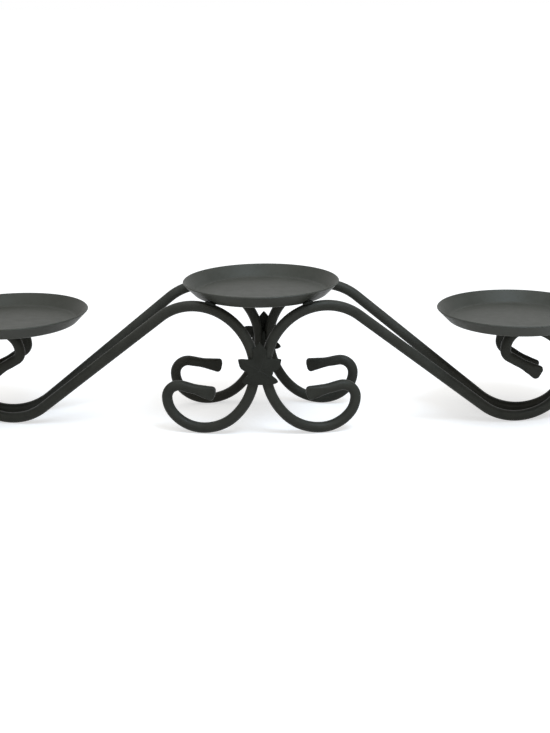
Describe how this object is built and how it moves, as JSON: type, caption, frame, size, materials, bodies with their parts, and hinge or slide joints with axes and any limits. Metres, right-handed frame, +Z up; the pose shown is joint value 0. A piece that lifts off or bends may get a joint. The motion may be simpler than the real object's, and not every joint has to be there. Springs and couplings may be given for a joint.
{
  "type": "candle stand centrepiece",
  "caption": "Low table centrepiece of scrolled round steel bars that carry a row of shallow dished plates for pillar candles, the middle plate raised.",
  "frame": {"origin": "on the table, under the centre of the middle plate", "axes": "+Z up, +X along the row of plates to the viewer's right, -Y towards the front"},
  "size_m": [0.5656, 0.133, 0.1235],
  "materials": {
    "plate_paint": "satin black paint, faintly mottled",
    "bar_paint": "satin black paint over hammered round bar",
    "leaf_paint": "satin black paint over pressed sheet",
    "weld_paint": "satin black paint over rough weld metal"
  },
  "bodies": {
    "root": {"middle_plate": "plate_paint", "left_plate": "plate_paint", "right_plate": "plate_paint", "front_left_bar": "bar_paint", "front_right_bar": "bar_paint", "back_left_bar": "bar_paint", "back_right_bar": "bar_paint", "front_leaf": "leaf_paint", "back_leaf": "leaf_paint", "front_waist_weld": "weld_paint", "back_waist_weld": "weld_paint", "front_left_middle_weld": "weld_paint", "front_right_middle_weld": "weld_paint", "back_left_middle_weld": "weld_paint", "back_right_middle_weld": "weld_paint", "front_left_outer_weld": "weld_paint", "front_right_outer_weld": "weld_paint", "back_left_outer_weld": "weld_paint", "back_right_outer_weld": "weld_paint", "front_left_leaf_weld": "weld_paint", "front_right_leaf_weld": "weld_paint", "back_left_leaf_weld": "weld_paint", "back_right_leaf_weld": "weld_paint"}
  },
  "joints": []
}
